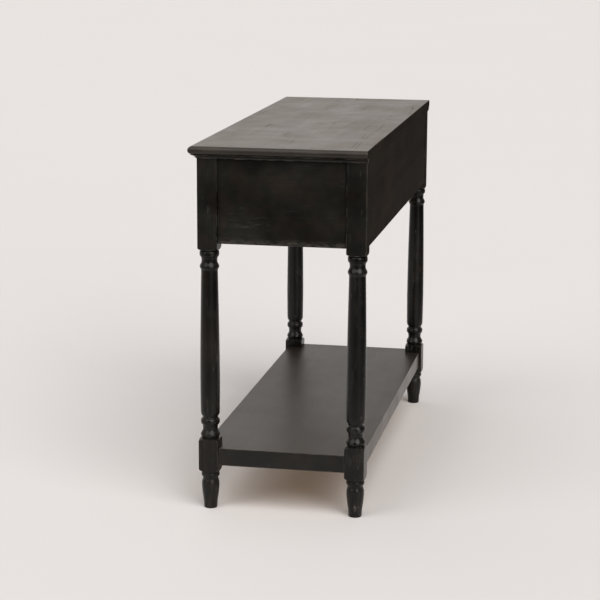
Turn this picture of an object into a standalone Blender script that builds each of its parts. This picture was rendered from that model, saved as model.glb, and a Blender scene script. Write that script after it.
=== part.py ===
"""Console table with two drawers, four turned legs and a low shelf.

X runs along the table's length, Y runs from the drawer fronts to the back, and Z is up.
The origin is on the floor, at the middle of the table's bounding box. All sizes are metres.
"""

import math

import bmesh
import bpy
from mathutils import Vector

# Overall sizes
HEIGHT = 0.760
LEG_SPAN_X = 0.958  # between the outer faces of the legs, along the length
LEG_SPAN_Y = 0.346  # between the front and back faces of the legs
LEG = 0.041  # side of the square leg stock
GAP = 0.0003  # clearance that touching pieces keep

# Top board and the cove moulding under its nose
TOP_THICKNESS = 0.0165
TOP_OVERHANG = 0.0155
TOP_BACK_OVERHANG = 0.002
MOULDING_HEIGHT = 0.0088
MOULDING_REACH = 0.0105
MOULDING_FOOT = 0.0015
MOULDING_LIP = 0.0009

# Legs, measured up from the floor
UPPER_BLOCK_BOTTOM = 0.5468
LOWER_BLOCK_TOP = 0.1503
LOWER_BLOCK_BOTTOM = 0.0807
BLOCK_ARRIS = 0.0012
SHOULDER_HEIGHT = 0.008  # how far the turning rounds a block's corners, along the leg
SHOULDER_RADIUS = 0.0195  # radius of that rounding at the block's end
CORNER_RADIUS = 0.0300  # radius outside the block's corners
TURNED_STEPS = 24

# Apron
APRON_BOTTOM = 0.561
PANEL_THICKNESS = 0.018
END_PANEL_RECESS = 0.0065
BACK_PANEL_RECESS = 0.001
FRONT_RECESS = 0.001
TOP_RAIL_HEIGHT = 0.030
TOP_RAIL_DEPTH = 0.030
BOTTOM_RAIL_HEIGHT = 0.022
BOTTOM_RAIL_DEPTH = 0.045
DIVIDER_WIDTH = 0.036
DIVIDER_DEPTH = 0.020
TENON_LENGTH = 0.009
TENON_SHOULDER = 0.004

# Drawer runners, guides, kickers and stops
RUNNER_STEP = 0.0012  # the runners stand this much above the bottom rail
RUNNER_BOTTOM = 0.563
RUNNER_WIDTH = 0.0217
CENTRE_RUNNER_WIDTH = 0.090
GUIDE_TOP = 0.606
CENTRE_GUIDE_WIDTH = 0.035
STOP_WIDTH = 0.040
STOP_HEIGHT = 0.022

# Drawers
DRAWER_FRONT_GAP = 0.0015
DRAWER_FRONT_THICKNESS = 0.018
DRAWER_SIDE_CLEARANCE = 0.002
DRAWER_TOP_CLEARANCE = 0.002
DRAWER_SIDE_THICKNESS = 0.012
DRAWER_LENGTH = 0.300
DRAWER_BOTTOM_THICKNESS = 0.005
DRAWER_BOTTOM_RISE = 0.010
DRAWER_BACK_DROP = 0.006
DADO_DEPTH = 0.006
GROOVE_DEPTH = 0.005

# Knobs and their screws
KNOB_REACH = 0.026
KNOB_RADIUS = 0.015
KNOB_NECK_RADIUS = 0.0058
KNOB_BASE_RADIUS = 0.0085
KNOB_HOLE_RADIUS = 0.0023
KNOB_HOLE_DEPTH = 0.0135
SCREW_RADIUS = 0.0019
SCREW_HEAD_RADIUS = 0.0042
SCREW_HEAD_HEIGHT = 0.0024
SCREW_BITE = 0.012  # length of a knob screw inside its knob
SMALL_STEPS = 12
KNOB_STEPS = 16

# Screws that hold the top to the kickers
TOP_SCREW_BITE = 0.010
TOP_SCREW_SINK = 0.014  # depth of the counterbore in the kicker
TOP_SCREW_SETBACK = 0.082
COUNTERBORE_RADIUS = 0.0055

# Shelf and its dowels
SHELF_BOTTOM = 0.096
SHELF_THICKNESS = 0.0365
SHELF_END_INSET = 0.0025
SHELF_SIDE_INSET = 0.0065
DOWEL_RADIUS = 0.005
DOWEL_IN_LEG = 0.018
DOWEL_IN_SHELF = 0.024
DOWEL_END_ROOM = 0.001

# Places worked out from the sizes above
TOP_UNDERSIDE = HEIGHT - TOP_THICKNESS
APRON_TOP = TOP_UNDERSIDE - GAP
LEG_OUT_X = LEG_SPAN_X / 2
LEG_IN_X = LEG_OUT_X - LEG
WHOLE_DEPTH = KNOB_REACH - FRONT_RECESS + LEG_SPAN_Y + TOP_BACK_OVERHANG
LEG_FRONT = KNOB_REACH - FRONT_RECESS - WHOLE_DEPTH / 2
LEG_BACK = LEG_FRONT + LEG_SPAN_Y
FACE_Y = LEG_FRONT + FRONT_RECESS
PANEL_INNER_X = LEG_OUT_X - END_PANEL_RECESS - PANEL_THICKNESS
PANEL_INNER_Y = LEG_BACK - BACK_PANEL_RECESS - PANEL_THICKNESS
OPENING_BOTTOM = APRON_BOTTOM + BOTTOM_RAIL_HEIGHT
OPENING_TOP = TOP_UNDERSIDE - TOP_RAIL_HEIGHT
OPENING_WIDTH = LEG_IN_X - DIVIDER_WIDTH / 2
RUNNER_TOP = OPENING_BOTTOM + RUNNER_STEP
DRAWER_BOTTOM_Z = RUNNER_TOP + GAP
DRAWER_BACK_Y = FACE_Y + DRAWER_LENGTH
SHELF_TOP = SHELF_BOTTOM + SHELF_THICKNESS

SIDES = {"left": -1, "right": 1}


# Scene, collections and materials


def clear_scene():
    for old in list(bpy.data.objects):
        bpy.data.objects.remove(old, do_unlink=True)


def new_collection(name, hidden=False):
    collection = bpy.data.collections.new(name)
    collection.hide_render = hidden
    bpy.context.scene.collection.children.link(collection)
    return collection


def new_material(name, colour, roughness, metallic=0.0):
    material = bpy.data.materials.new(name)
    material.use_nodes = True
    shader = material.node_tree.nodes["Principled BSDF"]
    shader.inputs["Base Color"].default_value = (*colour, 1.0)
    shader.inputs["Roughness"].default_value = roughness
    shader.inputs["Metallic"].default_value = metallic
    material.diffuse_color = (*colour, 1.0)
    return material


clear_scene()
TABLE = new_collection("console_table")
CUTTERS = new_collection("console_table_cutters", hidden=True)
BLACK_PAINT = new_material("black_paint", (0.013, 0.012, 0.011), 0.42)
RAW_WOOD = new_material("raw_wood", (0.52, 0.36, 0.21), 0.62)
PLYWOOD = new_material("plywood", (0.58, 0.43, 0.27), 0.60)
AGED_BRASS = new_material("aged_brass", (0.30, 0.21, 0.10), 0.38, 1.0)
ZINC_STEEL = new_material("zinc_steel", (0.50, 0.50, 0.48), 0.35, 1.0)


# Making pieces


def add_piece(name, mesh, material, location=(0, 0, 0)):
    piece = bpy.data.objects.new(name, mesh)
    piece.location = location
    if not mesh.materials:
        mesh.materials.append(material)
    TABLE.objects.link(piece)
    return piece


def add_cutter(name, mesh, location=(0, 0, 0)):
    cutter = bpy.data.objects.new(name, mesh)
    cutter.location = location
    cutter.hide_render = True
    cutter.display_type = "WIRE"
    CUTTERS.objects.link(cutter)
    return cutter


def box_mesh(name, size):
    """A box of this size, centred on its own origin."""
    cube = bmesh.new()
    bmesh.ops.create_cube(cube, size=1.0)
    bmesh.ops.scale(cube, vec=Vector(size), verts=cube.verts)
    mesh = bpy.data.meshes.new(name)
    cube.to_mesh(mesh)
    cube.free()
    return mesh


def box_place(low, high):
    low = Vector(low)
    high = Vector(high)
    return (low + high) / 2, high - low


def add_box(name, low, high, material):
    centre, size = box_place(low, high)
    return add_piece(name, box_mesh(name, size), material, centre)


def box_cutter(name, low, high):
    centre, size = box_place(low, high)
    return add_cutter(name, box_mesh(name, size), centre)


def rod_mesh(name, radius, start, end, sides=SMALL_STEPS):
    """A cylinder that runs from start to end."""
    start = Vector(start)
    end = Vector(end)
    rod = bmesh.new()
    bmesh.ops.create_cone(
        rod,
        cap_ends=True,
        segments=sides,
        radius1=radius,
        radius2=radius,
        depth=(end - start).length,
    )
    turn = Vector((0, 0, 1)).rotation_difference(end - start)
    bmesh.ops.rotate(rod, cent=(0, 0, 0), matrix=turn.to_matrix(), verts=rod.verts)
    bmesh.ops.translate(rod, vec=(start + end) / 2, verts=rod.verts)
    mesh = bpy.data.meshes.new(name)
    rod.to_mesh(mesh)
    rod.free()
    mesh.shade_smooth()
    mesh.set_sharp_from_angle(angle=math.radians(40))
    return mesh


def add_bevel(piece, width):
    bevel = piece.modifiers.new("arris", "BEVEL")
    bevel.width = width
    bevel.segments = 1
    bevel.limit_method = "ANGLE"
    bevel.angle_limit = math.radians(40)


def combine(piece, other, operation):
    boolean = piece.modifiers.new(other.name, "BOOLEAN")
    boolean.operation = operation
    boolean.solver = "EXACT"
    boolean.object = other


def baked(piece):
    """The piece's mesh with its modifiers applied. The piece itself is removed."""
    bpy.context.view_layer.update()
    graph = bpy.context.evaluated_depsgraph_get()
    mesh = bpy.data.meshes.new_from_object(piece.evaluated_get(graph))
    mesh.name = piece.name
    bpy.data.objects.remove(piece)
    return mesh


def turned_mesh(name, profile, steps):
    """An outline (radius, height), top to bottom on its outer side, turned about Z."""
    mesh = bpy.data.meshes.new(name)
    outline = bmesh.new()
    points = [outline.verts.new((radius, 0, height)) for radius, height in profile]
    for first, second in zip(points, points[1:]):
        outline.edges.new((first, second))
    outline.to_mesh(mesh)
    outline.free()
    piece = add_cutter(name, mesh)
    screw = piece.modifiers.new("turning", "SCREW")
    screw.axis = "Z"
    screw.steps = steps
    screw.render_steps = steps
    screw.use_merge_vertices = True
    screw.merge_threshold = 0.00005
    screw.use_smooth_shade = True
    return baked(piece)


def extruded_mesh(name, outline, length):
    """A flat outline, extruded by half of length to each side of its plane."""
    curve = bpy.data.curves.new(name, "CURVE")
    curve.dimensions = "2D"
    curve.fill_mode = "BOTH"
    curve.extrude = length / 2
    spline = curve.splines.new("POLY")
    spline.points.add(len(outline) - 1)
    for point, (across, up) in zip(spline.points, outline):
        point.co = (across, up, 0, 1)
    spline.use_cyclic_u = True
    guide = bpy.data.objects.new(name, curve)
    CUTTERS.objects.link(guide)
    mesh = baked(guide)
    welded = bmesh.new()
    welded.from_mesh(mesh)
    bmesh.ops.remove_doubles(welded, verts=welded.verts, dist=0.00001)
    bmesh.ops.recalc_face_normals(welded, faces=welded.faces)
    welded.to_mesh(mesh)
    welded.free()
    return mesh


def arc(centre, radii, start, end, steps):
    """Points on an ellipse from start to end, in degrees."""
    points = []
    for step in range(steps + 1):
        angle = math.radians(start + (end - start) * step / steps)
        across = centre[0] + radii[0] * math.cos(angle)
        up = centre[1] + radii[1] * math.sin(angle)
        points.append((across, up))
    return points


# Top board and mouldings


def make_top_board():
    low = (-LEG_OUT_X - TOP_OVERHANG, LEG_FRONT - TOP_OVERHANG, TOP_UNDERSIDE)
    high = (LEG_OUT_X + TOP_OVERHANG, LEG_BACK + TOP_BACK_OVERHANG, HEIGHT)
    centre, size = box_place(low, high)
    mesh = box_mesh("top_board", size)
    board = bmesh.new()
    board.from_mesh(mesh)

    def on_nose(edge):
        middle = (edge.verts[0].co + edge.verts[1].co) / 2
        on_back = middle.y > size.y / 2 - GAP
        return abs(middle.z) > size.z / 2 - GAP and not on_back

    bmesh.ops.bevel(
        board,
        geom=[edge for edge in board.edges if on_nose(edge)],
        offset=TOP_THICKNESS / 2 - GAP,
        segments=6,
        profile=0.5,
        affect="EDGES",
    )
    board.to_mesh(mesh)
    board.free()
    return add_piece("top_board", mesh, BLACK_PAINT, centre)


def moulding_outline():
    """(reach out from the leg's face, height) of the cove, anticlockwise from its back foot."""
    bottom = TOP_UNDERSIDE - MOULDING_HEIGHT
    lip = APRON_TOP - MOULDING_LIP
    foot = bottom + MOULDING_LIP
    cove = arc((MOULDING_REACH, foot), (MOULDING_REACH - MOULDING_FOOT, lip - foot), 180, 90, 5)
    # The cove is only part of a quarter round, so its middle points move out towards the chord.
    start = Vector(cove[0])
    end = Vector(cove[-1])
    eased = []
    for step, point in enumerate(cove):
        chord = start.lerp(end, step / (len(cove) - 1))
        eased.append(tuple(Vector(point).lerp(chord, 0.45)))
    return [
        (GAP, bottom),
        (MOULDING_FOOT, bottom),
        *eased,
        (MOULDING_REACH, APRON_TOP),
        (GAP, APRON_TOP),
    ]


def mitred(mesh, point, normal):
    """Cut away the side of the mesh that the normal points to, and close the cut."""
    strip = bmesh.new()
    strip.from_mesh(mesh)
    cut = bmesh.ops.bisect_plane(
        strip,
        geom=strip.verts[:] + strip.edges[:] + strip.faces[:],
        plane_co=point,
        plane_no=normal,
        clear_outer=True,
    )
    rim = [part for part in cut["geom_cut"] if isinstance(part, bmesh.types.BMEdge)]
    bmesh.ops.contextual_create(strip, geom=rim)
    bmesh.ops.recalc_face_normals(strip, faces=strip.faces)
    strip.to_mesh(mesh)
    strip.free()


def make_mouldings():
    """Each strip is extruded along its own local Z, then turned onto the table's edge."""
    long_enough = LEG_SPAN_X + 4 * MOULDING_REACH
    front = extruded_mesh("cove_moulding_front", moulding_outline(), long_enough)
    for point in front.vertices:
        reach, up, along = point.co
        point.co = (along, LEG_FRONT - reach, up)
    for side in SIDES.values():
        corner = (side * LEG_OUT_X - side * GAP / 2, LEG_FRONT, 0)
        mitred(front, corner, (side, 1, 0))
    add_piece("cove_moulding_front", front, BLACK_PAINT)

    back_y = LEG_BACK + TOP_BACK_OVERHANG
    for word, side in SIDES.items():
        name = f"cove_moulding_{word}"
        strip = extruded_mesh(name, moulding_outline(), 2 * LEG_SPAN_Y)
        for point in strip.vertices:
            reach, up, along = point.co
            point.co = (side * (LEG_OUT_X + reach), along, up)
        corner = (side * LEG_OUT_X + side * GAP / 2, LEG_FRONT, 0)
        mitred(strip, corner, (-side, -1, 0))
        mitred(strip, (0, back_y, 0), (0, 1, 0))
        add_piece(name, strip, BLACK_PAINT)


# Legs


def bead(low, high, edge, peak, steps=4):
    """A raised half round between two heights, listed from the top down."""
    middle = (low + high) / 2
    return arc((edge, middle), (peak - edge, (high - low) / 2), 90, -90, steps)


def cove(low, high, edge, valley, steps=3):
    """A hollow between two heights, listed from the top down."""
    middle = (low + high) / 2
    return arc((edge, middle), (valley - edge, (high - low) / 2), 90, -90, steps)


def swelling(high, low, start, end, swell, steps=6):
    """A taper from start to end that bulges by swell on the way, listed from the top down."""
    points = []
    for step in range(steps + 1):
        share = step / steps
        radius = start + (end - start) * share + swell * math.sin(math.pi * share)
        points.append((radius, high + (low - high) * share))
    return points


def shoulder(end, into):
    """The rounding of a block's end, from the end into the block. Into is 1 for upwards."""
    rise = SHOULDER_HEIGHT * into
    reach = CORNER_RADIUS - SHOULDER_RADIUS
    return arc((SHOULDER_RADIUS, end + rise), (reach, -rise), 90, 0, 5)


def leg_profile():
    """(radius, height) of all the turned surfaces of a leg, from the top down."""
    return [
        (0, APRON_TOP),
        (CORNER_RADIUS, APRON_TOP),
        *reversed(shoulder(UPPER_BLOCK_BOTTOM, 1)),
        (0.0186, 0.5463),
        (0.0186, 0.5450),
        *bead(0.5335, 0.5440, 0.0190, 0.0201, 3),
        (0.0176, 0.5325),
        *cove(0.5190, 0.5315, 0.0176, 0.0162),
        *bead(0.5045, 0.5180, 0.0172, 0.0199),
        *swelling(0.5030, 0.2800, 0.0171, 0.0203, 0.0004, 5),
        *swelling(0.2500, 0.2070, 0.0201, 0.0196, 0.0000, 2),
        (0.0189, 0.2015),
        (0.0170, 0.1985),
        *cove(0.1930, 0.1975, 0.0166, 0.0159, 2),
        *bead(0.1800, 0.1925, 0.0170, 0.0196),
        *cove(0.1645, 0.1790, 0.0168, 0.0154),
        *bead(0.1510, 0.1640, 0.0174, 0.0198),
        (0.0174, 0.1505),
        *shoulder(LOWER_BLOCK_TOP, -1),
        *reversed(shoulder(LOWER_BLOCK_BOTTOM, 1)),
        (0.0184, 0.0802),
        *bead(0.0685, 0.0798, 0.0184, 0.0190, 3),
        (0.0172, 0.0675),
        *cove(0.0610, 0.0670, 0.0168, 0.0160, 2),
        *arc((0.0165, 0.0490), (0.0018, 0.0110), 80, 0, 3),
        *swelling(0.0440, 0.0150, 0.0181, 0.0145, 0.0003, 4),
        (0.0140, 0.0085),
        (0.0138, 0.0015),
        (0.0130, 0),
        (0, 0),
    ]


def leg_blank():
    """One leg without its mortises: the turned outline where it lies inside the square stock."""
    half = LEG / 2
    stock = box_cutter("leg_stock", (-half, -half, -LEG), (half, half, HEIGHT + LEG))
    add_bevel(stock, BLOCK_ARRIS)
    blank = add_cutter("leg", turned_mesh("leg", leg_profile(), TURNED_STEPS))
    combine(blank, stock, "INTERSECT")
    mesh = baked(blank)
    mesh.materials.append(BLACK_PAINT)
    mesh.set_sharp_from_angle(angle=math.radians(30))
    return mesh


def make_legs():
    mesh = leg_blank()
    legs = {}
    for row, y in (("front", LEG_FRONT + LEG / 2), ("back", LEG_BACK - LEG / 2)):
        for word, side in SIDES.items():
            name = f"leg_{row}_{word}"
            x = side * (LEG_OUT_X - LEG / 2)
            legs[row, word] = add_piece(name, mesh, BLACK_PAINT, (x, y, 0))
    return legs


# Apron


def tenon(piece, leg, low, high):
    """Join a tenon to the piece, and cut its mortise in the leg."""
    slack = Vector((GAP, GAP, GAP))
    tongue = box_cutter(f"{piece.name}_tenon", low, high)
    mortise = box_cutter(f"{leg.name}_mortise", Vector(low) - slack, Vector(high) + slack)
    combine(piece, tongue, "UNION")
    combine(leg, mortise, "DIFFERENCE")


def end_panel(word, side, legs):
    inner = side * PANEL_INNER_X
    outer = side * (LEG_OUT_X - END_PANEL_RECESS)
    low_x = min(inner, outer)
    high_x = max(inner, outer)
    front = LEG_FRONT + LEG + GAP
    back = LEG_BACK - LEG - GAP
    panel = add_box(
        f"end_panel_{word}",
        (low_x, front, APRON_BOTTOM),
        (high_x, back, APRON_TOP),
        BLACK_PAINT,
    )
    root = TENON_SHOULDER
    for row, start, end in (
        ("front", front - TENON_LENGTH, front + root),
        ("back", back - root, back + TENON_LENGTH),
    ):
        low = (low_x + root, start, APRON_BOTTOM + 2 * root)
        high = (high_x - root, end, APRON_TOP - 2 * root)
        tenon(panel, legs[row, word], low, high)


def back_panel(legs):
    reach = LEG_IN_X - GAP
    back = LEG_BACK - BACK_PANEL_RECESS
    low = (-reach, PANEL_INNER_Y, APRON_BOTTOM)
    panel = add_box("back_panel", low, (reach, back, APRON_TOP), BLACK_PAINT)
    root = TENON_SHOULDER
    for word, side in SIDES.items():
        ends = sorted((side * (reach - root), side * (reach + TENON_LENGTH)))
        low = (ends[0], PANEL_INNER_Y + root, APRON_BOTTOM + 2 * root)
        high = (ends[1], back - root, APRON_TOP - 2 * root)
        tenon(panel, legs["back", word], low, high)


def front_rail(name, low_z, high_z, depth, legs):
    reach = LEG_IN_X - GAP
    rail = add_box(name, (-reach, FACE_Y, low_z), (reach, FACE_Y + depth, high_z), BLACK_PAINT)
    root = TENON_SHOULDER
    tongue = min(depth, LEG) - 2 * root
    for word, side in SIDES.items():
        ends = sorted((side * (reach - root), side * (reach + TENON_LENGTH)))
        low = (ends[0], FACE_Y + root, low_z + root)
        high = (ends[1], FACE_Y + root + tongue / 2, high_z - root)
        tenon(rail, legs["front", word], low, high)


def make_apron(legs):
    for word, side in SIDES.items():
        end_panel(word, side, legs)
    back_panel(legs)
    front_rail("front_top_rail", OPENING_TOP, APRON_TOP, TOP_RAIL_DEPTH, legs)
    front_rail("front_bottom_rail", APRON_BOTTOM, OPENING_BOTTOM, BOTTOM_RAIL_DEPTH, legs)
    half = DIVIDER_WIDTH / 2
    low = (-half, FACE_Y, OPENING_BOTTOM + GAP)
    high = (half, FACE_Y + DIVIDER_DEPTH, OPENING_TOP - GAP)
    add_box("drawer_divider", low, high, BLACK_PAINT)


# Runners, guides, kickers and stops


def lengthwise_strip(name, x_range, z_range, front):
    """A strip that runs back from front to the back panel."""
    low = (min(x_range), front + GAP, z_range[0])
    high = (max(x_range), PANEL_INNER_Y - GAP, z_range[1])
    return add_box(name, low, high, RAW_WOOD)


def strip_ranges():
    """The X range of the outer strips on each side, and of the middle one."""
    outer = LEG_IN_X - GAP
    inner = outer - RUNNER_WIDTH
    half = CENTRE_RUNNER_WIDTH / 2
    return {
        "left": (-outer, -inner),
        "centre": (-half, half),
        "right": (inner, outer),
    }


def make_drawer_ways():
    kickers = {}
    for word, x_range in strip_ranges().items():
        runner_z = (RUNNER_BOTTOM, RUNNER_TOP)
        lengthwise_strip(f"drawer_runner_{word}", x_range, runner_z, FACE_Y + BOTTOM_RAIL_DEPTH)
        kicker_z = (OPENING_TOP, APRON_TOP)
        name = f"drawer_kicker_{word}"
        kickers[word] = lengthwise_strip(name, x_range, kicker_z, FACE_Y + TOP_RAIL_DEPTH)
    half = CENTRE_GUIDE_WIDTH / 2
    guide_z = (RUNNER_TOP + GAP, GUIDE_TOP)
    lengthwise_strip("drawer_guide_centre", (-half, half), guide_z, FACE_Y + BOTTOM_RAIL_DEPTH)
    for word, side in SIDES.items():
        ends = sorted((side * LEG_IN_X, side * (PANEL_INNER_X - GAP)))
        low = (ends[0], LEG_FRONT + LEG + GAP, RUNNER_BOTTOM)
        high = (ends[1], LEG_BACK - LEG - GAP, GUIDE_TOP)
        add_box(f"drawer_guide_{word}", low, high, RAW_WOOD)
        middle = side * (DIVIDER_WIDTH + OPENING_WIDTH) / 2
        low = (middle - STOP_WIDTH / 2, DRAWER_BACK_Y + GAP, DRAWER_BOTTOM_Z + DRAWER_SIDE_THICKNESS)
        high = (middle + STOP_WIDTH / 2, PANEL_INNER_Y - GAP, low[2] + STOP_HEIGHT)
        add_box(f"drawer_stop_{word}", low, high, RAW_WOOD)
    return kickers


# Screws that hold the top


def screw_mesh(name, length):
    """A pan-head screw. Its head's outer end is at its origin, and its shank runs up Z."""
    head = SCREW_HEAD_HEIGHT
    profile = [
        (0, head + length),
        (SCREW_RADIUS / 2, head + length),
        (SCREW_RADIUS, head + length - SCREW_RADIUS),
        (SCREW_RADIUS, head),
        (SCREW_HEAD_RADIUS, head),
        (SCREW_HEAD_RADIUS, head / 2),
        (SCREW_HEAD_RADIUS * 0.8, head / 8),
        (0, 0),
    ]
    mesh = turned_mesh(name, profile, SMALL_STEPS)
    mesh.set_sharp_from_angle(angle=math.radians(40))
    return mesh


def make_top_screws(top, kickers):
    seat = OPENING_TOP + TOP_SCREW_SINK
    head_z = seat - GAP - SCREW_HEAD_HEIGHT
    length = TOP_UNDERSIDE + TOP_SCREW_BITE - seat + GAP
    mesh = screw_mesh("top_screw", length)
    hole_radius = SCREW_RADIUS + GAP
    number = 0
    for word, x_range in strip_ranges().items():
        x = sum(x_range) / 2
        for y in (LEG_FRONT + TOP_SCREW_SETBACK, LEG_BACK - TOP_SCREW_SETBACK):
            number += 1
            name = f"top_screw_{number}"
            add_piece(name, mesh, ZINC_STEEL, (x, y, head_z))
            low = (x, y, OPENING_TOP - GAP)
            hole_end = (x, y, TOP_UNDERSIDE + TOP_SCREW_BITE + GAP)
            hole = rod_mesh(f"{name}_hole", hole_radius, low, hole_end)
            bore = rod_mesh(f"{name}_counterbore", COUNTERBORE_RADIUS, low, (x, y, seat))
            hole_cutter = add_cutter(hole.name, hole)
            combine(kickers[word], hole_cutter, "DIFFERENCE")
            combine(kickers[word], add_cutter(bore.name, bore), "DIFFERENCE")
            combine(top, hole_cutter, "DIFFERENCE")


# Drawers


def knob_mesh():
    """A turned knob on a small base. Its base is at its origin and its face points up Z."""
    face = KNOB_REACH - GAP
    crown = 0.0045
    widest = face - 0.0065
    profile = [
        (0, face),
        *arc((0, face - crown), (KNOB_RADIUS * 0.9, crown), 75, 25, 4),
        *arc((KNOB_RADIUS - 0.003, widest), (0.003, 0.0035), 60, -80, 5),
        *arc((KNOB_RADIUS - 0.003, 0.0085), (KNOB_NECK_RADIUS - KNOB_RADIUS + 0.003, 0.008), 80, 10, 4),
        (KNOB_NECK_RADIUS, 0.0055),
        (KNOB_BASE_RADIUS, 0.0025),
        (KNOB_BASE_RADIUS, 0),
        (KNOB_HOLE_RADIUS, 0),
        (KNOB_HOLE_RADIUS, KNOB_HOLE_DEPTH),
        (0, KNOB_HOLE_DEPTH),
    ]
    mesh = turned_mesh("knob", profile, KNOB_STEPS)
    mesh.set_sharp_from_angle(angle=math.radians(40))
    return mesh


def drawer_front(word, middle, sides_x, top_z):
    half = OPENING_WIDTH / 2 - DRAWER_FRONT_GAP
    back = FACE_Y + DRAWER_FRONT_THICKNESS
    low = (middle - half, FACE_Y, DRAWER_BOTTOM_Z)
    high = (middle + half, back, top_z)
    front = add_box(f"drawer_{word}_front", low, high, BLACK_PAINT)
    side_top = top_z - DRAWER_TOP_CLEARANCE
    for x in sides_x:
        dado_low = (x[0] - GAP, back - DADO_DEPTH - GAP, DRAWER_BOTTOM_Z - GAP)
        dado_high = (x[1] + GAP, back + GAP, side_top + GAP)
        combine(front, box_cutter(f"{front.name}_dado", dado_low, dado_high), "DIFFERENCE")
    return front


def drawer_bottom(word, sides_x):
    """The bottom panel runs in grooves in the sides and the front, and under the back."""
    low_z = DRAWER_BOTTOM_Z + DRAWER_BOTTOM_RISE
    front_y = FACE_Y + DRAWER_FRONT_THICKNESS - GROOVE_DEPTH
    low = (sides_x[0][1] - GROOVE_DEPTH, front_y, low_z)
    high = (sides_x[1][0] + GROOVE_DEPTH, DRAWER_BACK_Y - GAP, low_z + DRAWER_BOTTOM_THICKNESS)
    panel = add_box(f"drawer_{word}_bottom", low, high, PLYWOOD)
    slack = Vector((GAP, GAP, GAP))
    cutter = box_cutter(f"drawer_{word}_groove", Vector(low) - slack, Vector(high) + 2 * slack)
    return panel, cutter


def make_drawer(word, side, knob, screw):
    middle = side * (DIVIDER_WIDTH + OPENING_WIDTH) / 2
    top_z = OPENING_TOP - DRAWER_FRONT_GAP
    side_top = top_z - DRAWER_TOP_CLEARANCE
    outer = OPENING_WIDTH / 2 - DRAWER_SIDE_CLEARANCE
    inner = outer - DRAWER_SIDE_THICKNESS
    sides_x = ((middle - outer, middle - inner), (middle + inner, middle + outer))
    dado = FACE_Y + DRAWER_FRONT_THICKNESS - DADO_DEPTH

    front = drawer_front(word, middle, sides_x, top_z)
    bottom, groove = drawer_bottom(word, sides_x)
    combine(front, groove, "DIFFERENCE")
    pieces = [front, bottom]
    for side_word, x in zip(SIDES, sides_x):
        low = (x[0], dado, DRAWER_BOTTOM_Z)
        high = (x[1], DRAWER_BACK_Y, side_top)
        piece = add_box(f"drawer_{word}_side_{side_word}", low, high, RAW_WOOD)
        combine(piece, groove, "DIFFERENCE")
        pieces.append(piece)

    back_bottom = DRAWER_BOTTOM_Z + DRAWER_BOTTOM_RISE + DRAWER_BOTTOM_THICKNESS + GAP
    back_front = DRAWER_BACK_Y - DRAWER_SIDE_THICKNESS
    low = (middle - inner + GAP, back_front, back_bottom)
    high = (middle + inner - GAP, DRAWER_BACK_Y, side_top - DRAWER_BACK_DROP)
    pieces.append(add_box(f"drawer_{word}_back", low, high, RAW_WOOD))

    knob_z = (DRAWER_BOTTOM_Z + top_z) / 2
    knob_piece = add_piece(f"drawer_{word}_knob", knob, AGED_BRASS, (middle, FACE_Y - GAP, knob_z))
    screw_y = FACE_Y + DRAWER_FRONT_THICKNESS + GAP + SCREW_HEAD_HEIGHT
    screw_piece = add_piece(f"drawer_{word}_knob_screw", screw, ZINC_STEEL, (middle, screw_y, knob_z))
    for piece in (knob_piece, screw_piece):
        piece.rotation_euler = (math.radians(90), 0, 0)
        pieces.append(piece)
    hole_name = f"drawer_{word}_knob_hole"
    start = (middle, FACE_Y - GAP, knob_z)
    end = (middle, FACE_Y + DRAWER_FRONT_THICKNESS + GAP, knob_z)
    hole = rod_mesh(hole_name, KNOB_HOLE_RADIUS, start, end)
    combine(front, add_cutter(hole_name, hole), "DIFFERENCE")
    hang_on_slide(word, (middle, FACE_Y, DRAWER_BOTTOM_Z), pieces)


def hang_on_slide(word, place, pieces):
    """Parent a drawer's pieces to an empty on the drawer's line of travel."""
    slide = bpy.data.objects.new(f"drawer_{word}_slide", None)
    slide.location = place
    TABLE.objects.link(slide)
    bpy.context.view_layer.update()
    for piece in pieces:
        piece.parent = slide
        piece.matrix_parent_inverse = slide.matrix_world.inverted()


def make_drawers():
    knob = knob_mesh()
    screw = screw_mesh("knob_screw", DRAWER_FRONT_THICKNESS + SCREW_BITE)
    for word, side in SIDES.items():
        make_drawer(word, side, knob, screw)


# Shelf


def make_shelf(legs):
    out_x = LEG_OUT_X - SHELF_END_INSET
    notch_x = LEG_IN_X - GAP
    front = LEG_FRONT + SHELF_SIDE_INSET
    back = LEG_BACK - SHELF_SIDE_INSET
    notch_front = LEG_FRONT + LEG + GAP
    notch_back = LEG_BACK - LEG - GAP
    middle_z = SHELF_BOTTOM + SHELF_THICKNESS / 2
    low = (-out_x, front, SHELF_BOTTOM)
    shelf = add_box("lower_shelf", low, (out_x, back, SHELF_TOP), BLACK_PAINT)
    for word, side in SIDES.items():
        ends = sorted((side * notch_x, side * LEG_OUT_X))
        for row, start, stop in (("front", LEG_FRONT, notch_front), ("back", notch_back, LEG_BACK)):
            low = (ends[0], start, SHELF_BOTTOM - GAP)
            high = (ends[1], stop, SHELF_TOP + GAP)
            combine(shelf, box_cutter(f"shelf_notch_{row}_{word}", low, high), "DIFFERENCE")

    for row, y in (("front", LEG_FRONT + 0.6 * LEG), ("back", LEG_BACK - 0.6 * LEG)):
        for word, side in SIDES.items():
            name = f"shelf_dowel_{row}_{word}"
            outer = LEG_IN_X + DOWEL_IN_LEG
            inner = LEG_IN_X - DOWEL_IN_SHELF
            start = (side * inner, y, middle_z)
            end = (side * outer, y, middle_z)
            add_piece(name, rod_mesh(name, DOWEL_RADIUS, start, end), RAW_WOOD)
            start = (side * (inner - DOWEL_END_ROOM), y, middle_z)
            end = (side * (outer + DOWEL_END_ROOM), y, middle_z)
            hole = rod_mesh(f"{name}_hole", DOWEL_RADIUS + GAP, start, end)
            cutter = add_cutter(hole.name, hole)
            combine(shelf, cutter, "DIFFERENCE")
            combine(legs[row, word], cutter, "DIFFERENCE")


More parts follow.
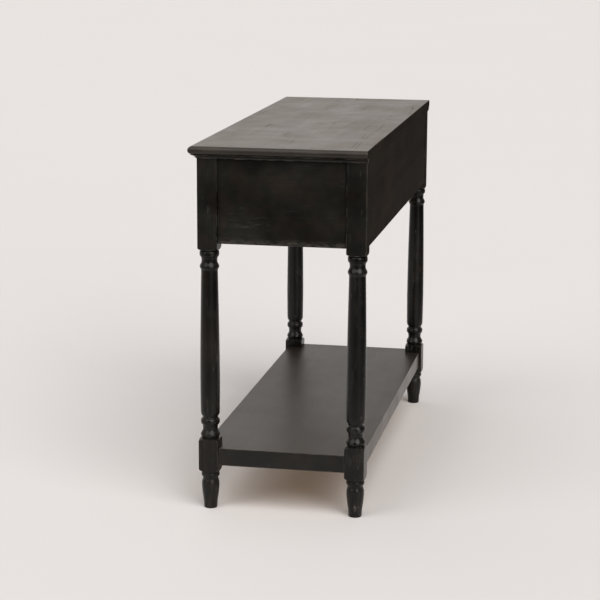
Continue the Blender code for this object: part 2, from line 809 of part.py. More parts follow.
def make_table():
    top = make_top_board()
    make_mouldings()
    legs = make_legs()
    make_apron(legs)
    kickers = make_drawer_ways()
    make_top_screws(top, kickers)
    make_drawers()
    make_shelf(legs)


make_table()
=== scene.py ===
import math

import bmesh
import bpy
from mathutils import Matrix, Vector


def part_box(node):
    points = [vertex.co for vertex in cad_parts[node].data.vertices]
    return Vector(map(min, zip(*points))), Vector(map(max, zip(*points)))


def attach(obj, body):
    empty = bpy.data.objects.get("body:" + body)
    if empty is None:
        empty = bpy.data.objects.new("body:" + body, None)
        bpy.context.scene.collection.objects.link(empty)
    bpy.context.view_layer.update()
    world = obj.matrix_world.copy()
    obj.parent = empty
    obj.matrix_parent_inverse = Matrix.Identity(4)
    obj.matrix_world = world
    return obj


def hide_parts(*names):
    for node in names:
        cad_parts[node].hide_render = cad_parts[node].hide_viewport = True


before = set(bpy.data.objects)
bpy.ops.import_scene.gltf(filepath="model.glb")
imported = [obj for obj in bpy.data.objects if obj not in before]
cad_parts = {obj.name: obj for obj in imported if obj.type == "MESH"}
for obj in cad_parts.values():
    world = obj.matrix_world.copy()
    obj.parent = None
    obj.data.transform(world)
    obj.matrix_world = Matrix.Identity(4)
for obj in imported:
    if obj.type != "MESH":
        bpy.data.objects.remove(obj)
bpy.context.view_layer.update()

GAP = 0.0003  # the clearance that the CAD keeps between touching pieces
LEG = 0.041  # side of the square leg stock
SIDES = {"left": -1, "right": 1}
ROWS = ("front", "back")


# Node graphs


class Graph:
    """Adds nodes to a material's tree, and links or sets their inputs."""

    def __init__(self, tree):
        self.tree = tree

    def put(self, socket, value):
        if isinstance(value, bpy.types.NodeSocket):
            self.tree.links.new(value, socket)
        else:
            socket.default_value = value

    def add(self, kind, inputs=(), **settings):
        node = self.tree.nodes.new(f"ShaderNode{kind}")
        for name, value in settings.items():
            setattr(node, name, value)
        for name, value in dict(inputs).items():
            self.put(node.inputs[name], value)
        return node

    def place(self):
        """Object coordinates, so that a pattern stays with its piece."""
        return self.add("TexCoord").outputs["Object"]

    def stretched(self, vector, scale, offset=(0, 0, 0)):
        return self.add("Mapping", {"Vector": vector, "Scale": scale, "Location": offset}).outputs[0]

    def noise(self, vector, scale, detail=2.0, roughness=0.5, distortion=0.0):
        inputs = {
            "Vector": vector,
            "Scale": scale,
            "Detail": detail,
            "Roughness": roughness,
            "Distortion": distortion,
        }
        return self.add("TexNoise", inputs).outputs[0]

    def ranged(self, value, low, high, to_low=0.0, to_high=1.0):
        inputs = {
            "Value": value,
            "From Min": low,
            "From Max": high,
            "To Min": to_low,
            "To Max": to_high,
        }
        return self.add("MapRange", inputs, clamp=True).outputs[0]

    def calculated(self, operation, first, second=0.0):
        return self.add("Math", {0: first, 1: second}, operation=operation).outputs[0]

    def plus(self, first, second):
        return self.calculated("ADD", first, second)

    def times(self, first, second):
        return self.calculated("MULTIPLY", first, second)

    def mixed(self, share, first, second):
        """A colour between the first and the second."""
        node = self.add("Mix", data_type="RGBA")
        for index, value in ((0, share), (6, first), (7, second)):
            self.put(node.inputs[index], value)
        return node.outputs[2]

    def edge(self, radius, start, full):
        """1 on the piece's edges and corners, fading to 0 within the radius."""
        rounded = self.add("Bevel", {"Radius": radius}, samples=6).outputs[0]
        true = self.add("NewGeometry").outputs["Normal"]
        inputs = {0: rounded, 1: true}
        turn = self.add("VectorMath", inputs, operation="DOT_PRODUCT").outputs["Value"]
        return self.ranged(turn, start, full)

    def bump(self, height, strength, distance, normal=None):
        inputs = {"Height": height, "Strength": strength, "Distance": distance}
        if normal is not None:
            inputs["Normal"] = normal
        return self.add("Bump", inputs).outputs[0]


def rgba(red, green, blue):
    return (red, green, blue, 1.0)


def tinted(tone, colour):
    """A colour made lighter or darker by the tone."""
    red, green, blue, _ = colour
    return rgba(tone * red, tone * green, tone * blue)


def new_material(name, constants):
    """A material with its constants set on the shader's own sockets, and a graph to add to."""
    material = bpy.data.materials.new(name)
    material.use_nodes = True
    shader = material.node_tree.nodes["Principled BSDF"]
    for socket, value in constants.items():
        shader.inputs[socket].default_value = value
    return material, Graph(material.node_tree), shader


def along(axis, lengthwise, across):
    """A scale for each coordinate that stretches a pattern along one axis."""
    scale = [across, across, across]
    scale["XYZ".index(axis)] = lengthwise
    return tuple(scale)


# Materials

WARM_BLACK = rgba(0.0050, 0.0038, 0.0029)
WARM_BLACK_THIN = rgba(0.0124, 0.0096, 0.0072)
GREEN_BLACK = rgba(0.0034, 0.0035, 0.0029)
GREEN_BLACK_THIN = rgba(0.0082, 0.0083, 0.0065)
# Pale brownish film: dust, and painted sheen on faces that would look light from their reflections.
DUST_AND_SHEEN = rgba(0.135, 0.108, 0.086)
RUBBED_GRAIN = rgba(0.062, 0.054, 0.045)
RUBBED_PATCH = rgba(0.060, 0.053, 0.045)
SCUFFED = rgba(0.120, 0.108, 0.094)
WORN_HEM = rgba(0.070, 0.063, 0.054)
WORN_EDGE = rgba(0.150, 0.132, 0.112)
WORN_EDGE_RADIUS = 0.0034
CRACK_HALF_WIDTH = 0.007  # as a step of the noise that the cracks follow


def black_paint(
    name,
    axis,
    sheen=0.34,
    fibre=1.0,
    wear=1.0,
    specular=0.28,
    dust_and_sheen=0.0,
    checks=0.0,
    cool=1.0,
    scuffs=1.0,
    rubbed=0.0,
    worn_below=None,
    tone=1.0,
    mottle=1.0,
):
    """Satin black paint over wood, whose grain runs along the axis.

    sheen: roughness of sound paint. specular: strength of its reflections. tone: its brightness.
    cool: share of greenish patches. mottle: unevenness of the gloss.
    fibre: how far the grain shows. wear: how bare the edges are. dust_and_sheen: share of a pale,
    brownish film, partly dust and partly painted sheen.
    checks: depth of fine cracks. scuffs: short pale marks. rubbed: patches rubbed thin.
    worn_below: the two heights between which wear along a bottom edge fades out.
    """
    material, graph, shader = new_material(name, {"Specular IOR Level": specular})
    place = graph.place()
    fibres = graph.noise(graph.stretched(place, along(axis, 6, 300)), 1.0, 3.0, 0.6)
    figure = graph.noise(graph.stretched(place, along(axis, 1.8, 18)), 1.0, 4.0, 0.58, 0.7)
    cloud = graph.noise(place, 10.0, 3.0, 0.55)
    stain = graph.noise(place, 21.0, 2.0, 0.5, 0.8)
    fleck = graph.noise(place, 900.0, 2.0, 0.5)

    # The coat: warm and greenish blacks, lighter where it is thin, under a pale film that is partly
    # dust and partly painted sheen.
    thin = graph.ranged(graph.plus(cloud, graph.times(figure, 0.5)), 0.58, 0.92)
    warm = graph.mixed(thin, tinted(tone, WARM_BLACK), tinted(tone, WARM_BLACK_THIN))
    green = graph.mixed(thin, tinted(tone, GREEN_BLACK), tinted(tone, GREEN_BLACK_THIN))
    colour = graph.mixed(graph.ranged(stain, 0.40, 0.60, 0.0, cool), warm, green)
    colour = graph.mixed(graph.ranged(cloud, 0.30, 0.70, 0.6 * dust_and_sheen, dust_and_sheen), colour, DUST_AND_SHEEN)

    # Wear: rubbed grain and patches, scuffs, a worn bottom edge, and bare edges.
    rub = graph.times(graph.ranged(cloud, 0.46, 0.66), graph.ranged(fibres, 0.50, 0.70))
    colour = graph.mixed(graph.times(rub, 0.42 * fibre), colour, RUBBED_GRAIN)
    if rubbed:
        patch = graph.noise(graph.stretched(place, along(axis, 16, 95)), 1.0, 3.0, 0.6, 0.6)
        patch = graph.times(graph.ranged(patch, 0.52, 0.72), graph.ranged(stain, 0.36, 0.56))
        colour = graph.mixed(graph.times(patch, rubbed), colour, RUBBED_PATCH)
    streak = graph.noise(graph.stretched(place, along(axis, 26, 230)), 1.0, 2.0, 0.5, 1.2)
    scuff = graph.times(graph.ranged(streak, 0.62, 0.76), graph.ranged(stain, 0.46, 0.60))
    colour = graph.mixed(graph.times(scuff, 0.45 * scuffs), colour, SCUFFED)
    if worn_below:
        low, high = worn_below
        height = graph.add("SeparateXYZ", {0: place}).outputs["Z"]
        ragged = graph.noise(graph.stretched(place, along(axis, 46, 150)), 1.0, 4.0, 0.7, 0.8)
        hem = graph.ranged(height, low, high, 1.0, 0.0)
        hem = graph.times(hem, graph.ranged(ragged, 0.42, 0.62))
        colour = graph.mixed(graph.times(hem, 0.75), colour, WORN_HEM)
    patches = graph.ranged(graph.noise(place, 46.0, 4.0, 0.68), 0.44, 0.62)
    worn = graph.times(graph.edge(WORN_EDGE_RADIUS, 0.98, 0.80), patches)
    colour = graph.mixed(graph.times(worn, 0.75 * wear), colour, WORN_EDGE)
    graph.put(shader.inputs["Base Color"], colour)

    # The gloss and the relief: broad figure, fine grain, cracks and flecks.
    gloss = graph.plus(
        graph.ranged(cloud, 0.3, 0.7, sheen - 0.06 * mottle, sheen + 0.08 * mottle),
        graph.ranged(figure, 0.35, 0.65, 0.03 * mottle, -0.02 * mottle),
    )
    gloss = graph.plus(gloss, graph.times(worn, 0.15))
    relief = graph.bump(figure, 0.20 * mottle, 0.0006)
    relief = graph.bump(fibres, 0.30 * fibre, 0.0002, relief)
    if checks:
        ridge = graph.noise(graph.stretched(place, along(axis, 1.3, 13)), 1.0, 1.5, 0.5, 0.35)
        away = graph.calculated("ABSOLUTE", graph.calculated("SUBTRACT", ridge, 0.5))
        crack = graph.ranged(away, 0.0, CRACK_HALF_WIDTH, 1.0, 0.0)
        crack = graph.times(crack, graph.ranged(cloud, 0.44, 0.60))
        gloss = graph.plus(gloss, graph.times(crack, 0.35 * checks))
        relief = graph.bump(graph.times(crack, -1.0), checks, 0.0006, relief)
    graph.put(shader.inputs["Roughness"], gloss)
    graph.put(shader.inputs["Normal"], graph.bump(fleck, 0.10, 0.0001, relief))
    return material


def bare_wood(name, axis, pale, dark):
    """Unpainted softwood, with growth rings drawn out along the axis."""
    material, graph, shader = new_material(name, {"Specular IOR Level": 0.35})
    place = graph.place()
    bent = graph.noise(graph.stretched(place, along(axis, 1.2, 9)), 1.0, 2.0, 0.5, 0.4)
    rings = graph.add("Math", {0: graph.times(bent, 16.0)}, operation="FRACT").outputs[0]
    late = graph.ranged(rings, 0.45, 0.97)
    fibres = graph.noise(graph.stretched(place, along(axis, 6, 420)), 1.0, 4.0, 0.6)
    cloud = graph.noise(place, 9.0, 2.0)
    colour = graph.mixed(late, pale, dark)
    colour = graph.mixed(graph.ranged(fibres, 0.35, 0.75, 0.0, 0.45), colour, dark)
    colour = graph.mixed(graph.ranged(cloud, 0.45, 0.8, 0.0, 0.35), colour, pale)
    graph.put(shader.inputs["Base Color"], colour)
    graph.put(shader.inputs["Roughness"], graph.ranged(fibres, 0.3, 0.7, 0.58, 0.74))
    graph.put(shader.inputs["Normal"], graph.bump(fibres, 0.35, 0.0002))
    return material


def aged_brass():
    """Darkened brass, brighter on its edges."""
    material, graph, shader = new_material("aged_brass_fine", {"Metallic": 1.0})
    place = graph.place()
    cloud = graph.noise(place, 160.0, 4.0, 0.6)
    dark = rgba(0.11, 0.070, 0.032)
    colour = graph.mixed(graph.ranged(cloud, 0.38, 0.64), dark, rgba(0.34, 0.23, 0.10))
    high = graph.edge(0.0016, 0.99, 0.85)
    colour = graph.mixed(graph.times(high, 0.6), colour, rgba(0.55, 0.40, 0.20))
    graph.put(shader.inputs["Base Color"], colour)
    graph.put(shader.inputs["Roughness"], graph.ranged(cloud, 0.35, 0.7, 0.46, 0.28))
    graph.put(shader.inputs["Normal"], graph.bump(cloud, 0.15, 0.0001))
    return material


def zinc_steel():
    """Zinc plating, with the faint clouds of its crystals."""
    material, graph, shader = new_material("zinc_steel_fine", {"Metallic": 1.0})
    cloud = graph.noise(graph.place(), 420.0, 3.0, 0.6)
    dull = rgba(0.42, 0.42, 0.40)
    colour = graph.mixed(graph.ranged(cloud, 0.35, 0.65), dull, rgba(0.62, 0.61, 0.56))
    graph.put(shader.inputs["Base Color"], colour)
    graph.put(shader.inputs["Roughness"], graph.ranged(cloud, 0.3, 0.7, 0.28, 0.44))
    return material


END_PANEL_HEM = (0.563, 0.575)  # where the end panels' worn bottom edges fade out

PAINT = {
    axis: black_paint(f"black_paint_{axis}", axis, fibre=0.35, tone=1.25, scuffs=0.6)
    for axis in "XYZ"
}
# Shafts, beads, feet and the lower blocks are painted much darker (tone 0.55) than the upper blocks'
# flat faces (tone 1.25). This is painted shade on the parts that get more light, and painted light
# on the blocks under the top.
PAINT_TURNED_SHADED = black_paint(
    "black_paint_turned_shaded",
    "Z",
    sheen=0.30,
    fibre=0.3,
    wear=0.2,
    specular=0.24,
    cool=0.25,
    scuffs=1.2,
    rubbed=0.2,
    tone=0.55,
)
PAINT_WORN = black_paint("black_paint_worn", "Z", sheen=0.42, wear=1.3, specular=0.08, tone=0.8)
# The back legs' outermost back corners: a lighter, glossier copy of the worn corner paint. It paints
# a highlight line along that corner, besides the wear.
PAINT_CORNER_WORN_AND_HIGHLIGHT = black_paint("black_paint_corner_worn_highlight", "Z", sheen=0.42, wear=1.3, dust_and_sheen=0.08)
PAINT_END = black_paint(
    "black_paint_end", "Y", fibre=0.35, tone=1.3, scuffs=0.5, worn_below=END_PANEL_HEM
)
PAINT_BACK = black_paint(
    "black_paint_back",
    "X",
    sheen=0.75,
    fibre=0.2,
    wear=0.4,
    specular=0.01,
    dust_and_sheen=0.11,
    cool=0.5,
    scuffs=0.4,
)
# The top's heavy pale film is mostly painted sheen: it lightens the top the way its reflection of
# the backdrop would. Some of it is dust.
PAINT_TOP = black_paint("black_paint_top", "X", fibre=0.6, dust_and_sheen=0.56, checks=0.8)
# The nose's pale film is partly painted sheen along the rounded edge, and partly dust.
PAINT_NOSE = {
    axis: black_paint(f"black_paint_nose_{axis}", axis, wear=1.5, dust_and_sheen=0.20) for axis in "XY"
}
PAINT_SHELF = black_paint(
    "black_paint_shelf", "X", sheen=0.38, fibre=0.3, dust_and_sheen=0.11, mottle=0.4
)
# The shelf's long edges: a lighter copy of the shelf's paint. Its heavy pale film is a painted
# reflection of the bright floor at a grazing angle, on top of dust and rubbed patches.
PAINT_SHELF_SIDE_LIT = black_paint(
    "black_paint_shelf_side_lit", "X", sheen=0.31, wear=1.6, dust_and_sheen=0.52, rubbed=0.5
)
# The shelf's end faces: a darker copy of the paint (tone 0.7). This is painted shade where the key
# light falls on them.
PAINT_SHELF_END_SHADED = black_paint("black_paint_shelf_end_shaded", "Y", fibre=0.35, tone=0.7, scuffs=0.3)
PINE_PALE = rgba(0.62, 0.43, 0.24)
PINE_DARK = rgba(0.40, 0.24, 0.11)
PINE = {axis: bare_wood(f"pine_{axis}", axis, PINE_PALE, PINE_DARK) for axis in "XYZ"}
PLYWOOD = bare_wood("plywood_fine", "Y", rgba(0.66, 0.50, 0.31), rgba(0.50, 0.34, 0.18))
BRASS = aged_brass()
ZINC = zinc_steel()


# Making pieces

BOARD_ARRIS = 0.0008  # how far a board's edges are eased
FLAT = 0.98  # how squarely a face looks along an axis to count as flat


def finish_piece(name, mesh, material, slot, body, *nodes):
    """Put a mesh in the scene for the CAD nodes that it stands for."""
    mesh.name = name
    mesh.materials.clear()
    mesh.materials.append(material)
    piece = bpy.data.objects.new(name, mesh)
    bpy.context.scene.collection.objects.link(piece)
    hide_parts(*nodes)
    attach(piece, body)
    return piece


def refinish(piece, material, chosen):
    """Give the faces that the test picks a material of their own."""
    piece.data.materials.append(material)
    for face in piece.data.polygons:
        if chosen(face):
            face.material_index = len(piece.data.materials) - 1


def even_shading(piece):
    """Flat faces keep their own normals, so that only the eased edges look round."""
    weighted = piece.modifiers.new("even_shading", "WEIGHTED_NORMAL")
    weighted.keep_sharp = True
    weighted.weight = 100


def mesh_of(shape):
    """A smooth mesh with its faces turned outward. It uses the shape up."""
    mesh = bpy.data.meshes.new("piece")
    bmesh.ops.recalc_face_normals(shape, faces=shape.faces)
    shape.to_mesh(mesh)
    shape.free()
    mesh.shade_smooth()
    return mesh


def ease(shape, width):
    """Round every edge of a shape."""
    bmesh.ops.bevel(
        shape,
        geom=list(shape.edges),
        offset=width,
        segments=3,
        profile=0.5,
        affect="EDGES",
    )


def board_mesh(low, high, arris):
    """A board with eased edges."""
    low = Vector(low)
    high = Vector(high)
    shape = bmesh.new()
    bmesh.ops.create_cube(shape, size=1.0)
    bmesh.ops.scale(shape, vec=high - low, verts=shape.verts)
    bmesh.ops.translate(shape, vec=(low + high) / 2, verts=shape.verts)
    ease(shape, arris)
    return mesh_of(shape)


def board(node, body, material, slot, low=None, high=None, arris=BOARD_ARRIS):
    """A board in the place of a CAD node, or between the corners given."""
    node_low, node_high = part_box(node)
    mesh = board_mesh(low or node_low, high or node_high, arris)
    piece = finish_piece(f"{node}_board", mesh, material, slot, body, node)
    even_shading(piece)
    return piece


def cut(piece, *others):
    """Take the shapes of the other pieces out of this one, and keep the result."""
    even = piece.modifiers.get("even_shading")
    if even:
        piece.modifiers.remove(even)
    for other in others:
        boolean = piece.modifiers.new("cut", "BOOLEAN")
        boolean.operation = "DIFFERENCE"
        boolean.solver = "EXACT"
        boolean.object = other
    bpy.context.view_layer.update()
    graph = bpy.context.evaluated_depsgraph_get()
    mesh = bpy.data.meshes.new_from_object(piece.evaluated_get(graph))
    if not mesh.polygons:
        raise ValueError(f"the cut left nothing of {piece.name}")
    piece.modifiers.clear()
    piece.data = mesh
    if even:
        even_shading(piece)


def closed_tube(rings):
    """Rings of equally many points, each joined to the next, with the two ends filled."""
    shape = bmesh.new()
    rows = [[shape.verts.new(point) for point in ring] for ring in rings]
    for upper, lower in zip(rows, rows[1:]):
        for step in range(len(upper)):
            following = (step + 1) % len(upper)
            shape.faces.new((upper[step], upper[following], lower[following], lower[step]))
    shape.faces.new(rows[0])
    shape.faces.new(rows[-1])
    return shape


def arc(centre, radii, start, end, steps):
    """Points on an ellipse from start to end, in degrees."""
    points = []
    for step in range(steps + 1):
        angle = math.radians(start + (end - start) * step / steps)
        across = centre[0] + radii[0] * math.cos(angle)
        up = centre[1] + radii[1] * math.sin(angle)
        points.append((across, up))
    return points


def lathe_mesh(profile, steps):
    """An outline (radius, height) turned about Z. It keeps off the axis by POLE."""
    rings = []
    for radius, height in profile:
        ring = []
        for step in range(steps):
            angle = 2 * math.pi * step / steps
            ring.append((radius * math.cos(angle), radius * math.sin(angle), height))
        rings.append(ring)
    mesh = mesh_of(closed_tube(rings))
    mesh.set_sharp_from_angle(angle=math.radians(40))
    return mesh


# Legs

UPPER_BLOCK_BOTTOM = 0.5468
LOWER_BLOCK_TOP = 0.1503
LOWER_BLOCK_BOTTOM = 0.0807
SHOULDER_HEIGHT = 0.008  # how far the lathe's rounding climbs a block's corners
SHOULDER_RADIUS = 0.0195  # radius at the block's very end
CORNER_RADIUS = 0.0292  # radius where the rounding leaves the corners
LEG_ARRIS = 0.0011  # radius of a block's eased corners
CLEAR_RADIUS = 0.0189  # turned radii up to this never reach the square stock's sides
FACES_BACK = 0.75  # least Y of the normal of a face that looks towards the wall


def bead(low, high, edge, peak, steps=14):
    """A half-round, from the top down."""
    middle = (low + high) / 2
    return arc((edge, middle), (peak - edge, (high - low) / 2), 90, -90, steps)


def cove(low, high, edge, valley):
    """A hollow, from the top down."""
    return bead(low, high, edge, valley, 12)


def neck(low, high, edge, valley):
    """The upper half of a hollow, which a full bead follows."""
    return arc((edge, low), (valley - edge, high - low), 90, 0, 6)


def swelling(high, low, start, end, swell, steps=24):
    """A slow curve from one radius to another, fuller in the middle."""
    points = []
    for step in range(steps + 1):
        share = step / steps
        radius = start + (end - start) * share + swell * math.sin(math.pi * share)
        points.append((radius, high + (low - high) * share))
    return points


def full_bead(high, middle, low, above, peak, below, steps=12):
    """A bead that flows out of the neck above it and into what is below it, from the top down."""
    points = []
    halves = ((high, middle, above, peak), (middle, low, peak, below))
    for start, end, first, last in halves:
        for step in range(steps):
            share = step / steps
            eased = 0.5 - 0.5 * math.cos(math.pi * share)
            points.append((first + (last - first) * eased, start + (end - start) * share))
    return [*points, (below, low)]


def shoulder(end, into):
    """The rounding of a block's end, from the end into the block."""
    rise = SHOULDER_HEIGHT * into
    reach = CORNER_RADIUS - SHOULDER_RADIUS
    return arc((SHOULDER_RADIUS, end + rise), (reach, -rise), 90, 0, 22)


def leg_profile(top):
    """(radius, height) of the turned surfaces, from the top down. The blocks are squared later."""
    upper_block = [(CORNER_RADIUS, top), *reversed(shoulder(UPPER_BLOCK_BOTTOM, 1))]
    upper_beads = [
        (0.0176, 0.5466),
        (0.0176, 0.5450),
        *bead(0.5335, 0.5440, 0.0190, 0.0201),
        (0.0176, 0.5325),
        *neck(0.5250, 0.5315, 0.0176, 0.0162),
        *full_bead(0.5225, 0.5118, 0.5036, 0.0162, 0.0199, 0.0171),
    ]
    shaft = [
        *swelling(0.5030, 0.2800, 0.0171, 0.0203, 0.0004),
        *swelling(0.2500, 0.2070, 0.0201, 0.0196, 0.0, 8),
        (0.0189, 0.2015),
        (0.0170, 0.1985),
    ]
    lower_beads = [
        *cove(0.1930, 0.1975, 0.0166, 0.0159),
        *bead(0.1800, 0.1925, 0.0170, 0.0196),
        *neck(0.1718, 0.1790, 0.0168, 0.0154),
        *full_bead(0.1700, 0.1578, 0.1506, 0.0154, 0.0198, 0.0176),
    ]
    lower_block = [*shoulder(LOWER_BLOCK_TOP, -1), *reversed(shoulder(LOWER_BLOCK_BOTTOM, 1))]
    collar = [
        (0.0183, 0.0805),
        (0.0183, 0.0780),
        (0.0173, 0.0774),
        (0.0173, 0.0764),
        *bead(0.0690, 0.0760, 0.0182, 0.0189),
        (0.0170, 0.0682),
        *cove(0.0610, 0.0670, 0.0168, 0.0160),
    ]
    foot = [
        *arc((0.0165, 0.0490), (0.0018, 0.0110), 80, 0, 10),
        *swelling(0.0440, 0.0150, 0.0181, 0.0145, 0.0003, 14),
        (0.0140, 0.0085),
        (0.0138, 0.0015),
        (0.0130, 0.0),
    ]
    return upper_block + upper_beads + shaft + lower_beads + lower_block + collar + foot


def square_radius(angle):
    """Distance from the leg's centre line to its square outline, whose corners are eased."""
    half = LEG / 2
    across = abs(math.cos(angle))
    aside = abs(math.sin(angle))
    across, aside = max(across, aside), min(across, aside)
    flat = half / across
    if flat * aside <= half - LEG_ARRIS:
        return flat
    centre = half - LEG_ARRIS
    toward = centre * (across + aside)
    return toward + math.sqrt(toward**2 - 2 * centre**2 + LEG_ARRIS**2)


def leg_angles():
    """Directions round a leg, closest together at its corners."""
    half = LEG / 2
    flat = [0.0, 0.0022, 0.0045, 0.0068, 0.0090, 0.0112, 0.0132, 0.0150, 0.0165, 0.0178, 0.0187]
    eased = [half - LEG_ARRIS * share for share in (1.0, 0.72, 0.46, 0.22)]
    eighth = [math.atan2(reach, half) for reach in flat + eased] + [math.pi / 4]
    quarter = eighth + [math.pi / 2 - angle for angle in reversed(eighth[1:-1])]
    return [angle + turn * math.pi / 2 for turn in range(4) for angle in quarter]


def soft_least(first, second, blend=0.0004):
    """The smaller of two radii, with the crease between them rounded."""
    share = max(0.0, min(1.0, 0.5 + 0.5 * (second - first) / blend))
    return second + (first - second) * share - blend * share * (1 - share)


def faces_back_above(height):
    """A test for the faces above a height that look towards the wall."""
    return lambda face: face.normal.y > FACES_BACK and face.center.z > height


def flat_faces_above(height):
    """A test for the flat sides of a leg's upper block."""
    return lambda face: max(map(abs, face.normal.xy)) > FLAT and face.center.z > height


def arris_faces(centre):
    """A test for the faces on the corners of a leg's blocks."""
    reach = LEG / math.sqrt(2) - 1.2 * LEG_ARRIS

    def chosen(face):
        across = (face.center - centre).to_2d()
        return across.length > reach and abs(face.normal.z) < 0.5

    return chosen


def outer_back_corner(centre):
    """A test for the corner faces of a back leg that stand furthest out."""
    on_arris = arris_faces(centre)

    def chosen(face):
        across = face.center - centre
        return on_arris(face) and across.x * centre.x > 0 and across.y > 0

    return chosen


def leg_mesh(centre, top):
    """A leg turned from square stock, whose blocks keep their sides."""
    angles = leg_angles()
    squares = [square_radius(angle) for angle in angles]
    rings = []
    for radius, height in leg_profile(top):
        ring = []
        for angle, square in zip(angles, squares):
            reach = soft_least(square, radius) if radius > CLEAR_RADIUS else radius
            x = centre.x + reach * math.cos(angle)
            y = centre.y + reach * math.sin(angle)
            ring.append((x, y, height))
        rings.append(ring)
    mesh = mesh_of(closed_tube(rings))
    mesh.set_sharp_from_angle(angle=math.radians(50))
    return mesh


def make_legs():
    for row in ROWS:
        for word in SIDES:
            node = f"leg_{row}_{word}"
            low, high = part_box(node)
            centre = (low + high) / 2
            mesh = leg_mesh(centre, high.z)
            name = f"{node}_turned"
            # The turned paint is a darker copy and the upper blocks' flat faces a lighter one:
            # painted shade and painted light.
            piece = finish_piece(name, mesh, PAINT_TURNED_SHADED, "black_paint", "table", node)
            refinish(piece, PAINT["Z"], flat_faces_above(UPPER_BLOCK_BOTTOM))
            refinish(piece, PAINT_WORN, arris_faces(centre))
            if row == "back":
                refinish(piece, PAINT_BACK, faces_back_above(UPPER_BLOCK_BOTTOM - GAP))
                # A painted highlight along the outermost back corner.
                refinish(piece, PAINT_CORNER_WORN_AND_HIGHLIGHT, outer_back_corner(centre))
            even_shading(piece)


# Top board and mouldings

NOSE_CORNER = 0.0014  # radius of the nose's eased front corners


def rounded_path(left, front, right, back, inset):
    """Three sides of the top's outline, inset from its edges, with eased corners."""
    left += inset
    right -= inset
    front += inset
    turn = (NOSE_CORNER, NOSE_CORNER)
    return [
        (left, back),
        *arc((left + NOSE_CORNER, front + NOSE_CORNER), turn, 180, 270, 4),
        *arc((right - NOSE_CORNER, front + NOSE_CORNER), turn, 270, 360, 4),
        (right, back),
    ]


def nose_section(low_z, high_z):
    """(inset, height) round the half-round nose, from the top face to the underside."""
    radius = (high_z - low_z) / 2
    middle = (low_z + high_z) / 2
    return arc((radius, middle), (radius, radius), 90, 270, 20)


def top_shape(low, high):
    """The nose's section swept round the ends and the front, and closed across its faces."""
    shape = bmesh.new()
    rows = []
    for inset, height in nose_section(low.z, high.z):
        path = rounded_path(low.x, low.y, high.x, high.y, inset)
        rows.append([shape.verts.new((x, y, height)) for x, y in path])
    for upper, lower in zip(rows, rows[1:]):
        for step in range(len(upper) - 1):
            shape.faces.new((upper[step], upper[step + 1], lower[step + 1], lower[step]))
    shape.faces.new(rows[0])
    shape.faces.new(rows[-1])
    ends = [row[0] for row in rows] + [row[-1] for row in reversed(rows)]
    shape.faces.new(ends)
    return shape


def make_top():
    low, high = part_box("top_board")
    mesh = mesh_of(top_shape(low, high))
    mesh.set_sharp_from_angle(angle=math.radians(35))
    piece = finish_piece("top_board_shaped", mesh, PAINT_TOP, "black_paint", "table", "top_board")

    def on_nose(face):
        return abs(face.normal.z) < FLAT

    refinish(piece, PAINT_NOSE["X"], lambda face: on_nose(face) and face.normal.y < 0)
    refinish(piece, PAINT_NOSE["Y"], lambda face: on_nose(face) and abs(face.normal.x) > 0.1)
    refinish(piece, PAINT_BACK, faces_back_above(low.z))
    even_shading(piece)


def cove_section(low_z, high_z, reach):
    """(reach from the leg's face, height) of the cove moulding, anticlockwise."""
    foot = 0.0015  # width of the lower edge
    lip = 0.0009  # height of the small steps at the hollow's ends
    rounding = 0.0003
    flattening = 0.45  # how far the quarter-round hollow is drawn towards its chord
    corner = (foot, low_z + lip)
    end = (reach, high_z - lip)
    hollow = arc((reach, low_z + lip), (reach - foot, end[1] - corner[1]), 180, 90, 14)
    eased = []
    for step, point in enumerate(hollow):
        chord = Vector(corner).lerp(Vector(end), step / (len(hollow) - 1))
        eased.append(tuple(Vector(point).lerp(chord, flattening)))
    return [
        (GAP, low_z),
        (foot - rounding, low_z),
        (foot, low_z + rounding),
        *eased,
        (reach, high_z - rounding),
        (reach - rounding, high_z),
        (GAP, high_z),
    ]


def strip_mesh(section, place, start, end):
    """A section carried along a strip, whose ends may be mitred.

    start(reach) and end(reach) say where the strip ends, and place(reach, height, at) gives a point.
    """
    shape = bmesh.new()
    rows = []
    for cut_at in (start, end):
        points = [place(reach, height, cut_at(reach)) for reach, height in section]
        rows.append([shape.verts.new(point) for point in points])
    first, last = rows
    for step in range(len(section)):
        following = (step + 1) % len(section)
        shape.faces.new((first[step], first[following], last[following], last[step]))
    shape.faces.new(first)
    shape.faces.new(last)
    mesh = mesh_of(shape)
    mesh.set_sharp_from_angle(angle=math.radians(32))
    return mesh


def make_mouldings():
    low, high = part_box("cove_moulding_front")
    leg_low, leg_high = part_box("leg_front_right")
    leg_out = leg_high.x
    face = leg_low.y
    reach = face - low.y
    section = cove_section(low.z, high.z, reach)
    mitre = GAP / 2
    mesh = strip_mesh(
        section,
        lambda out, height, at: (at, face - out, height),
        lambda out: -leg_out - out + mitre,
        lambda out: leg_out + out - mitre,
    )
    node = "cove_moulding_front"
    finish_piece("cove_front_moulded", mesh, PAINT["X"], "black_paint", "table", node)
    for word, side in SIDES.items():
        node = f"cove_moulding_{word}"
        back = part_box(node)[1].y
        mesh = strip_mesh(
            section,
            lambda out, height, at, side=side: (side * (leg_out + out), at, height),
            lambda out: face - out + mitre,
            lambda out, back=back: back,
        )
        finish_piece(f"cove_{word}_moulded", mesh, PAINT["Y"], "black_paint", "table", node)


# Apron

PANEL_ARRIS = 0.0007
DIVIDER_ARRIS = 0.0006


